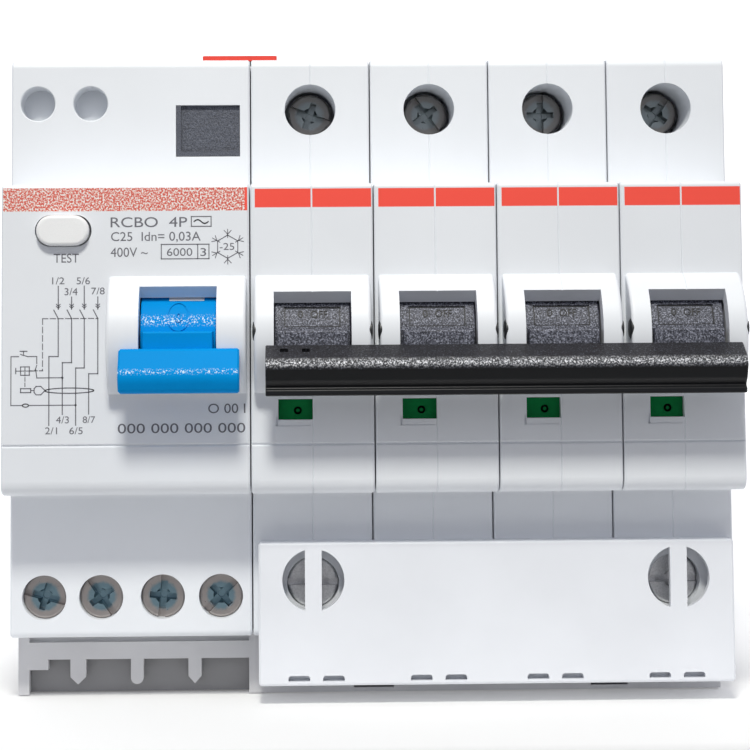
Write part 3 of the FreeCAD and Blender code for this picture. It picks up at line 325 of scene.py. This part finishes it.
def screw_metal(name, x, z, radius, centre_colour, rim_colour):
    """Zinc-plated screw: bluish passivation in the recess, brown tarnish towards the rim."""
    mat, tree, bsdf = new_material(name)
    where, axes = place(tree)
    dx = maths(tree, "SUBTRACT", axes[0], x)
    dz = maths(tree, "SUBTRACT", axes[2], z)
    squares = maths(tree, "ADD", maths(tree, "MULTIPLY", dx, dx), maths(tree, "MULTIPLY", dz, dz))
    reach = maths(tree, "SQRT", squares)
    marks = noise(tree, where, 1.6, 5.0, 0.7)
    wobble = maths(tree, "ADD", reach, maths(tree, "MULTIPLY", marks, 0.8))
    radial = maths(tree, "DIVIDE", wobble, radius + 0.4)
    duller = tuple(c * 0.9 for c in centre_colour)
    tint = ramp(tree, radial, [(0.25, centre_colour), (0.62, duller), (0.75, rim_colour)])
    tree.links.new(tint, bsdf.inputs["Base Color"])
    gloss = tree.nodes.new("ShaderNodeMapRange")
    gloss.inputs["To Min"].default_value = 0.18
    gloss.inputs["To Max"].default_value = 0.48
    tree.links.new(marks, gloss.inputs["Value"])
    tree.links.new(gloss.outputs[0], bsdf.inputs["Roughness"])
    bsdf.inputs["Metallic"].default_value = 1.0
    bump(tree, bsdf, noise(tree, where, 3.5, 5.0, 0.7), 0.7, 0.05 * MM)
    return mat


def ink(name, colour):
    mat, tree, bsdf = new_material(name)
    where, _ = place(tree)
    speck = noise(tree, where, 9.0, 3.0)
    tree.links.new(ramp(tree, speck, [(0.3, colour), (0.8, tuple(min(1, c * 1.35) for c in colour))]),
                   bsdf.inputs["Base Color"])
    bsdf.inputs["Roughness"].default_value = 0.55
    return mat


def port_rubber(name):
    """Black cap with a coarse square-grained face."""
    mat, tree, bsdf = new_material(name)
    where, _ = place(tree)
    cells = tree.nodes.new("ShaderNodeTexVoronoi")
    cells.inputs["Scale"].default_value = 2.6
    tree.links.new(where, cells.inputs["Vector"])
    fine = noise(tree, where, 9.0, 3.0)
    height = maths(tree, "ADD", cells.outputs["Distance"], fine)
    bump(tree, bsdf, height, 0.6, 0.08 * MM)
    tree.links.new(ramp(tree, fine, [(0.35, (0.030, 0.032, 0.042)), (0.65, (0.125, 0.137, 0.175))]),
                   bsdf.inputs["Base Color"])
    bsdf.inputs["Roughness"].default_value = 0.5
    return mat


M = {
    "rcd_white": shell_material("rcd_white", 19.05, 22.6, True),
    "pole_white": shell_material("pole_white", 19.45, 22.1, False),
    "cover_white": moulded("cover_white", (0.79, 0.81, 0.855), 0.42, depth=0.012),
    "button_white": moulded("button_white", (0.86, 0.865, 0.87), 0.28, depth=0.008),
    "tray_grey": tray_plastic("tray_grey"),
    "clip_grey": moulded("clip_grey", (0.42, 0.425, 0.44), 0.45, depth=0.02),
    "red_clip": moulded("red_clip", (0.72, 0.055, 0.035), 0.35),
    "blue": blue_grip("blue"),
    "green": moulded("green", (0.010, 0.28, 0.075), 0.5, spec=0.05),
    "black": black_grip("black"),
    "port": port_rubber("port"),
    "ink": ink("ink", (0.13, 0.13, 0.15)),
    "ink_dark": ink("ink_dark", (0.004, 0.004, 0.005)),
    "cage": metal("cage", (0.62, 0.63, 0.65), 0.34),
    "steel": metal("steel", (0.50, 0.51, 0.53), 0.32),
    "rivet": metal("rivet", (0.58, 0.58, 0.60), 0.30),
    "copper": metal("copper", (0.86, 0.44, 0.27), 0.30),
    "winding": metal("winding", (0.74, 0.30, 0.12), 0.35, scale=3.0, stretch=(6.0, 0.5, 6.0), depth=0.12),
    "ferrite": moulded("ferrite", (0.035, 0.036, 0.04), 0.5, grain=5.0, depth=0.05),
    "relay": moulded("relay", (0.02, 0.021, 0.024), 0.4),
    "chute": metal("chute", (0.45, 0.44, 0.43), 0.4),
}
for i, x in zip(POLES, POLE_X):
    M["line_screw_%d" % i] = screw_metal("line_screw_%d" % i, x, LINE_Z, 3.25,
                                         (0.30, 0.34, 0.35), (0.24, 0.23, 0.22))
for i in POLES:
    M["load_screw_%d" % i] = screw_metal("load_screw_%d" % i, centre_x("load_screw_%d" % i), LOAD_Z, 3.15,
                                         (0.24, 0.36, 0.42), (0.46, 0.42, 0.40))
M["breaker_load_screws"] = metal("breaker_load_screws", (0.80, 0.80, 0.81), 0.35)


def material_for(node):
    if node in M:
        return node
    if "shell" in node:
        return "pole_white"
    if node.startswith("pole") and node.endswith("_toggle") or node == "handle_bar":
        return "black"
    if node.endswith("_flag"):
        return "green"
    if "cage" in node:
        return "cage"
    if node.endswith("din_clip"):
        return "clip_grey"
    return {
        "rcd_front_cover": "rcd_white", "rcd_rear_case": "rcd_white", "rcd_toggle": "blue",
        "test_button": "button_white", "port_cover": "port", "coupling_clip": "red_clip",
        "connection_tray": "tray_grey", "terminal_cover": "cover_white", "pole_rivets": "rivet",
        "arc_chutes": "chute", "bimetals": "steel", "trip_coils": "winding", "fixed_contacts": "copper",
        "contact_arms": "copper", "primary_conductors": "copper", "link_busbars": "copper",
        "test_contact": "copper", "toroid_core": "ferrite", "toroid_winding": "winding",
        "relay_body": "relay", "relay_plunger": "steel", "trip_lever": "steel",
    }[node]


for node, obj in NODES.items():
    mat = M[material_for(node)]
    if obj.material_slots:
        for slot in obj.material_slots:
            slot.material = mat
    else:
        obj.data.materials.append(mat)

# ---------------------------------------------------------------- printed marks


def finish_piece(name, mesh, mat, body):
    mesh.materials.append(M[mat])
    obj = bpy.data.objects.new(name, mesh)
    bpy.context.scene.collection.objects.link(obj)
    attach(obj, body)
    return obj


class Ink:
    """Flat printed marks on a plane facing -Y, gathered into one mesh. Units are millimetres."""

    def __init__(self, y):
        self.bm = bmesh.new()
        self.y = y

    def polygon(self, points):
        front = [self.bm.verts.new((x * MM, (self.y - 0.02) * MM, z * MM)) for x, z in points]
        back = [self.bm.verts.new((x * MM, (self.y + 0.02) * MM, z * MM)) for x, z in points]
        n = len(points)
        self.bm.faces.new(front)
        self.bm.faces.new(back[::-1])
        for i in range(n):
            j = (i + 1) % n
            self.bm.faces.new((front[i], back[i], back[j], front[j]))

    def line(self, x0, z0, x1, z1, width=0.16):
        length = math.hypot(x1 - x0, z1 - z0)
        if length < 1e-6:
            return
        dx = (x1 - x0) / length * width / 2
        dz = (z1 - z0) / length * width / 2
        self.polygon([(x0 - dx - dz, z0 - dz + dx), (x0 - dx + dz, z0 - dz - dx),
                      (x1 + dx + dz, z1 + dz - dx), (x1 + dx - dz, z1 + dz + dx)])

    def path(self, points, width=0.16):
        for (x0, z0), (x1, z1) in zip(points, points[1:]):
            self.line(x0, z0, x1, z1, width)

    def dashes(self, x0, z0, x1, z1, dash, gap, width=0.14):
        length = math.hypot(x1 - x0, z1 - z0)
        ux, uz = (x1 - x0) / length, (z1 - z0) / length
        at = 0.0
        while at < length:
            end = min(at + dash, length)
            self.line(x0 + ux * at, z0 + uz * at, x0 + ux * end, z0 + uz * end, width)
            at = end + gap

    def ring(self, x, z, rx, rz, width=0.14, steps=28):
        pts = [(x + rx * math.cos(2 * math.pi * k / steps), z + rz * math.sin(2 * math.pi * k / steps))
               for k in range(steps + 1)]
        self.path(pts, width)

    def dot(self, x, z, r):
        turns = [-math.pi * k / 6 for k in range(12)]
        self.polygon([(x + r * math.cos(a), z + r * math.sin(a)) for a in turns])

    def frame(self, x0, z0, x1, z1, width=0.14):
        self.path([(x0, z0), (x1, z0), (x1, z1), (x0, z1), (x0, z0)], width)

    def done(self, name, body="housing", mat="ink"):
        bmesh.ops.recalc_face_normals(self.bm, faces=self.bm.faces)
        mesh = bpy.data.meshes.new(name)
        self.bm.to_mesh(mesh)
        self.bm.free()
        return finish_piece(name, mesh, mat, body)


def lettering(name, text, x0, z0, x1, z1, y=CAP_Y, body="housing", mat="ink", weight=0.0, turn=None):
    """Text as a thin mesh that fills the box x0..x1 by z0..z1 on the plane y."""
    curve = bpy.data.curves.new(name, "FONT")
    curve.body = text
    curve.extrude = 0.002
    curve.offset = weight
    curve.resolution_u = 5
    temp = bpy.data.objects.new(name + "_c", curve)
    mesh = bpy.data.meshes.new_from_object(temp)
    bpy.data.objects.remove(temp)
    xs = [v.co.x for v in mesh.vertices]
    ys = [v.co.y for v in mesh.vertices]
    zs = [v.co.z for v in mesh.vertices]
    wide, high, deep = max(xs) - min(xs), max(ys) - min(ys), max(zs) - min(zs)
    for v in mesh.vertices:
        px = x0 + (v.co.x - min(xs)) / wide * (x1 - x0)
        pz = z0 + (v.co.y - min(ys)) / high * (z1 - z0)
        py = y + (-0.02 if v.co.z > 0 else 0.02)
        point = Vector((px * MM, py * MM, pz * MM))
        v.co = turn @ point if turn else point
    mesh.name = name
    return finish_piece(name, mesh, mat, body)


def ratings():
    lettering("print_type", "RCBO  4P", -37.12, 16.75, -26.33, 18.17)
    lettering("print_rating", "C25  Idn= 0,03A", -37.06, 14.60, -24.44, 16.08)
    lettering("print_voltage", "400V ~", -37.12, 12.56, -31.89, 13.88)
    lettering("print_capacity", "6000", -29.2, 12.65, -25.61, 13.76)
    lettering("print_class", "3", -24.48, 12.62, -23.67, 13.75)
    lettering("print_frost", "-25", -21.75, 13.45, -19.7, 14.45)
    lettering("print_test", "TEST", -45.13, 11.8, -41.58, 13.07)
    marks = Ink(CAP_Y)
    marks.frame(-25.74, 16.82, -22.95, 18.21)
    wave = [(-25.35 + 2.0 * k / 16, 17.5 + 0.26 * math.sin(2 * math.pi * k / 16)) for k in range(17)]
    marks.path(wave, 0.17)
    marks.frame(-29.98, 12.25, -23.26, 14.29)
    marks.line(-24.85, 12.25, -24.85, 14.29, 0.14)
    cx, cz, r = -20.62, 13.92, 1.64
    turns = [math.radians(60 * k) for k in range(7)]
    corners = [(cx + r * math.sin(a), cz + r * math.cos(a)) for a in turns]
    marks.path(corners, 0.13)
    for k in range(6):
        a = math.radians(60 * k)
        base = (cx + r * 0.78 * math.sin(a), cz + r * 0.78 * math.cos(a))
        tip = (cx + r * 1.5 * math.sin(a), cz + r * 1.5 * math.cos(a))
        marks.line(*base, *tip, 0.11)
        knee = (cx + r * 1.08 * math.sin(a), cz + r * 1.08 * math.cos(a))
        for side in (-0.75, 0.75):
            b = a + side
            marks.line(*knee, knee[0] + 0.72 * math.sin(b), knee[1] + 0.72 * math.cos(b), 0.11)
    marks.done("print_symbols")


def code_lines():
    """Neutral digits where a real device carries its order code."""
    lettering("print_state", "O 00 I", -23.45, -9.49, -18.23, -8.15)
    lettering("print_code", "000 000 000 000", -36.13, -12.22, -18.25, -10.85)


def circuit():
    """Connection diagram of a four-pole residual current breaker."""
    ink_ = Ink(CAP_Y)
    xs = [-44.47, -42.60, -40.82, -38.92]
    steps = [-1.38, -2.25, -3.01, -3.83]
    lefts = [-45.77, -43.89, -42.02, -40.20]
    bottoms = [-11.0, -9.49, -11.0, -9.45]
    tops = [8.48, 6.94, 8.48, 6.94]
    link_z = 3.93
    for k in range(4):
        x = xs[k]
        ink_.line(x, tops[k], x, 5.25, 0.15)
        for dz in (5.95, 5.65):
            ink_.path([(x - 0.26, dz), (x, dz - 0.28), (x + 0.26, dz)], 0.12)
        ink_.line(x - 0.62, 5.12, x, link_z, 0.15)
        ink_.path([(x, link_z), (x, steps[k]), (lefts[k], steps[k]), (lefts[k], bottoms[k])], 0.15)
    ink_.dashes(-46.67, link_z, -39.0, link_z, 0.75, 0.32, 0.13)
    ink_.dashes(-46.67, link_z, -46.67, -3.36, 0.8, 0.38, 0.13)
    ink_.dashes(-46.67, -3.36, -48.4, -3.36, 0.45, 0.28, 0.13)
    ink_.path([(-47.47, -2.35), (-47.47, -1.36), (-48.75, -1.36)], 0.13)
    ink_.line(-48.75, -1.36, -49.75, -1.05, 0.13)
    ink_.path([(-50.0, -1.36), (-51.08, -1.36), (-51.08, -8.2), (-49.45, -8.2)], 0.13)
    ink_.line(-49.8, -0.62, -48.85, -0.62, 0.15)
    ink_.line(-49.33, -0.62, -49.33, -1.15, 0.13)
    ink_.line(-47.47, -2.6, -47.72, -3.35, 0.13)
    ink_.path([(-47.62, -3.2), (-47.46, -4.36), (-43.89, -4.36)], 0.13)
    ink_.dot(-43.89, -4.36, 0.17)
    ink_.frame(-49.73, -3.97, -48.51, -2.8, 0.13)
    ink_.line(-50.41, -3.38, -47.9, -3.38, 0.12)
    ink_.line(-50.41, -3.0, -50.41, -3.75, 0.14)
    ink_.dashes(-49.12, -2.8, -49.12, -5.7, 0.5, 0.25, 0.12)
    ink_.frame(-49.73, -6.4, -48.31, -5.85, 0.14)
    ink_.line(-48.31, -6.12, -47.83, -6.12, 0.12)
    ink_.path([(-47.83, -5.85), (-47.55, -5.55), (-46.9, -5.55), (-46.31, -6.12), (-46.9, -6.72),
               (-47.55, -6.72), (-47.83, -6.4), (-47.83, -5.85)], 0.13)
    ink_.ring(-42.9, -6.17, 3.42, 0.37, 0.14, 40)
    ink_.ring(-49.03, -8.21, 0.42, 0.22, 0.13)
    ink_.line(-48.6, -8.2, -42.02, -8.2, 0.13)
    ink_.dot(-42.02, -8.2, 0.15)
    ink_.done("print_diagram")
    labels = [("1/2", -45.34, 8.76, -43.62, 9.74), ("3/4", -43.59, 7.21, -41.77, 8.22),
              ("5/6", -41.9, 8.74, -40.02, 9.72), ("7/8", -39.83, 7.3, -37.95, 8.27),
              ("2/1", -46.29, -12.25, -44.61, -11.27), ("4/3", -44.77, -10.74, -42.96, -9.76),
              ("6/5", -42.9, -12.27, -41.03, -11.3), ("8/7", -41.03, -10.71, -39.29, -9.78)]
    for k, (text, x0, z0, x1, z1) in enumerate(labels):
        lettering("print_terminal_%d" % (k + 1), text, x0, z0, x1, z1)


ratings()
code_lines()
circuit()

# ---------------------------------------------------------------- marks on moving pieces

AXIS = Vector((0, AXIS_Y * MM, AXIS_Z * MM))


def wrap_on_drum(obj, radius, lift):
    """Bends a flat mark at Y = drum crown round the toggle axis."""
    for v in obj.data.vertices:
        angle = (v.co.z - AXIS.z) / (radius * MM)
        depth = radius * MM + lift * MM * (1 if v.co.y < AXIS.y - radius * MM else -1)
        v.co.y = AXIS.y - depth * math.cos(angle)
        v.co.z = AXIS.z + depth * math.sin(angle)


def drum_marks():
    for i, x in zip(POLES, POLE_X):
        for part, text, x0, x1 in (("o", "0", -2.0, -1.3), ("off", "OFF", -0.25, 2.1)):
            obj = lettering("pole%d_mark_%s" % (i, part), text, x + x0, 3.82, x + x1, 4.94,
                            y=AXIS_Y - LABEL_FLOOR, body="breaker_lever", mat="ink_dark")
            wrap_on_drum(obj, LABEL_FLOOR, 0.10)
        border = Ink(AXIS_Y - LABEL_FLOOR)
        low, high = LABEL_Z
        left = [(x - 3.85, low + (high - low) * k / 8) for k in range(9)]
        right = [(x + 3.85, z) for _, z in reversed(left)]
        border.path(left + right + left[:1], 0.13)
        obj = border.done("pole%d_mark_border" % i, body="breaker_lever", mat="ink_dark")
        wrap_on_drum(obj, LABEL_FLOOR, 0.06)


def flag_rings():
    for i, x in zip(POLES, POLE_X):
        low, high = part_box("pole%d_flag" % i)
        ring = Ink(low[1] / MM)
        ring.ring(x - 2.1, -9.25, 0.40, 0.40, 0.28, 24)
        ring.done("pole%d_flag_ring" % i, body="position_flags", mat="ink_dark")


def reset_mark():
    """Raised zero inside the round boss on the reset drum."""
    zero = Ink(AXIS_Y - DRUM_R - 0.1)
    zero.ring(-27.45, 4.15, 0.36, 0.62, 0.30, 24)
    obj = zero.done("reset_zero", body="reset_lever", mat="blue")
    wrap_on_drum(obj, DRUM_R + 0.1, 0.08)
    strip = Ink(AXIS_Y - DRUM_R - 0.05)
    strip.polygon([(-28.85, 6.89), (-23.92, 6.89), (-23.92, 7.60), (-28.85, 7.60)])
    obj = strip.done("reset_strip", body="reset_lever", mat="cover_white")
    wrap_on_drum(obj, DRUM_R + 0.05, 0.03)


def tie_caps():
    """Domed black caps in the round recesses on both sides of each hood."""
    steps = [(1.38, -0.9), (1.38, 0.0), (1.15, 0.15), (0.7, 0.22)]
    for i, x in zip(POLES, POLE_X):
        bm = bmesh.new()
        for side in (-1, 1):
            face_x = x + side * TIE_SIDE
            rings = []
            for radius, out in steps:
                turns = [math.pi * k / 16 for k in range(32)]
                rings.append([bm.verts.new(((face_x + side * out) * MM,
                                            (TIE_Y + radius * math.cos(a)) * MM,
                                            (TIE_Z + radius * math.sin(a)) * MM)) for a in turns])
            bm.faces.new(rings[0])
            for low, high in zip(rings, rings[1:]):
                for k in range(32):
                    bm.faces.new((low[k], low[(k + 1) % 32], high[(k + 1) % 32], high[k]))
            crown = bm.verts.new(((face_x + side * 0.25) * MM, TIE_Y * MM, TIE_Z * MM))
            for k in range(32):
                bm.faces.new((rings[-1][k], rings[-1][(k + 1) % 32], crown))
        bmesh.ops.recalc_face_normals(bm, faces=bm.faces)
        mesh = bpy.data.meshes.new("pole%d_tie_caps" % i)
        bm.to_mesh(mesh)
        bm.free()
        finish_piece("pole%d_tie_caps" % i, mesh, "relay", "housing")


drum_marks()
flag_rings()
reset_mark()
tie_caps()

# ---------------------------------------------------------------- studio

def sweep_material():
    """Matt paper, dark grey in the foreground, white under and behind the device; painted light makes it
    glow, faintly near the device and strongly far behind it.
    """
    mat, tree, bsdf = new_material("studio_paper")
    where, axes = place(tree)
    # painted light: the paper glows, its emission rising from 0.12 near the device to 0.80 far behind it
    paper_glow = tree.nodes.new("ShaderNodeMapRange")
    paper_glow.inputs["From Min"].default_value = -60.0
    paper_glow.inputs["From Max"].default_value = 900.0
    paper_glow.inputs["To Min"].default_value = 0.12
    paper_glow.inputs["To Max"].default_value = 0.80
    tree.links.new(axes[1], paper_glow.inputs["Value"])
    near = tree.nodes.new("ShaderNodeMapRange")
    near.inputs["From Min"].default_value = NEAR_PAPER[0]
    near.inputs["From Max"].default_value = NEAR_PAPER[1]
    tree.links.new(axes[1], near.inputs["Value"])
    paper = mix(tree, near.outputs[0], (0.07, 0.07, 0.07), (0.82, 0.82, 0.82))
    tree.links.new(paper, bsdf.inputs["Base Color"])
    bsdf.inputs["Roughness"].default_value = 0.95
    bsdf.inputs["Specular IOR Level"].default_value = 0.1
    bsdf.inputs["Emission Color"].default_value = (1, 1, 1, 1)
    tree.links.new(paper_glow.outputs[0], bsdf.inputs["Emission Strength"])
    return mat


def paper_sweep():
    """Floor that curves up into a wall behind the device."""
    floor = CAD_BOX[0][2] - 0.0002
    radius = 0.35
    wall = 1.1
    line = [(-1.4, floor), (-0.3, floor), (wall - radius, floor)]
    for k in range(1, 13):
        a = math.radians(90 * k / 12)
        line.append((wall - radius + radius * math.sin(a), floor + radius - radius * math.cos(a)))
    line.append((wall, 2.2))
    bm = bmesh.new()
    rows = [[bm.verts.new((x, y, z)) for x in (-2.4, 2.4)] for y, z in line]
    for low, high in zip(rows, rows[1:]):
        face = bm.faces.new((low[0], low[1], high[1], high[0]))
        face.smooth = True
    mesh = bpy.data.meshes.new("studio_paper")
    bm.to_mesh(mesh)
    bm.free()
    mesh.materials.append(sweep_material())
    obj = bpy.data.objects.new("studio_paper", mesh)
    bpy.context.scene.collection.objects.link(obj)


paper_sweep()

world = bpy.data.worlds.new("studio")
bpy.context.scene.world = world
world.use_nodes = True
back = world.node_tree.nodes["Background"]
back.inputs["Color"].default_value = (0.90, 0.915, 1.0, 1)
back.inputs["Strength"].default_value = 0.54


def softbox(name, location, target, size, power, colour=(1, 1, 1), spread=180):
    light = bpy.data.lights.new(name, "AREA")
    light.shape = "RECTANGLE"
    light.size, light.size_y = size
    light.energy = power
    light.color = colour
    light.spread = math.radians(spread)
    obj = bpy.data.objects.new(name, light)
    obj.location = location
    aim = Vector(target) - Vector(location)
    obj.rotation_euler = aim.to_track_quat("-Z", "Y").to_euler()
    bpy.context.scene.collection.objects.link(obj)
    return obj


softbox("key", (-0.030, -0.3845, 0.4115), (-0.004, -0.05, 0.038), (0.094, 0.080), 0.385,
        (1.0, 0.985, 0.91), 76)

# camera: on the rail's height, a little left of the middle, framed with a lens shift
camera = bpy.data.cameras.new("camera")
camera.sensor_width = 36.0
camera.lens = 94.5
camera.shift_x = 0.0613
camera.shift_y = -0.2107
camera.clip_start = 0.01
eye = bpy.data.objects.new("camera", camera)
right = Vector((0.99975733, -0.02083916, -0.00714151))
forward = Vector((0.02124893, 0.99777851, 0.06313889))
up = Vector((0.00580989, -0.06327532, 0.9979792))
turn = Matrix((right, up, -forward)).transposed().to_4x4()
eye.matrix_world = Matrix.Translation((-0.0121968, -0.3319807, 0.000448)) @ turn
bpy.context.scene.collection.objects.link(eye)
bpy.context.scene.camera = eye
bpy.context.scene.view_settings.view_transform = "Standard"
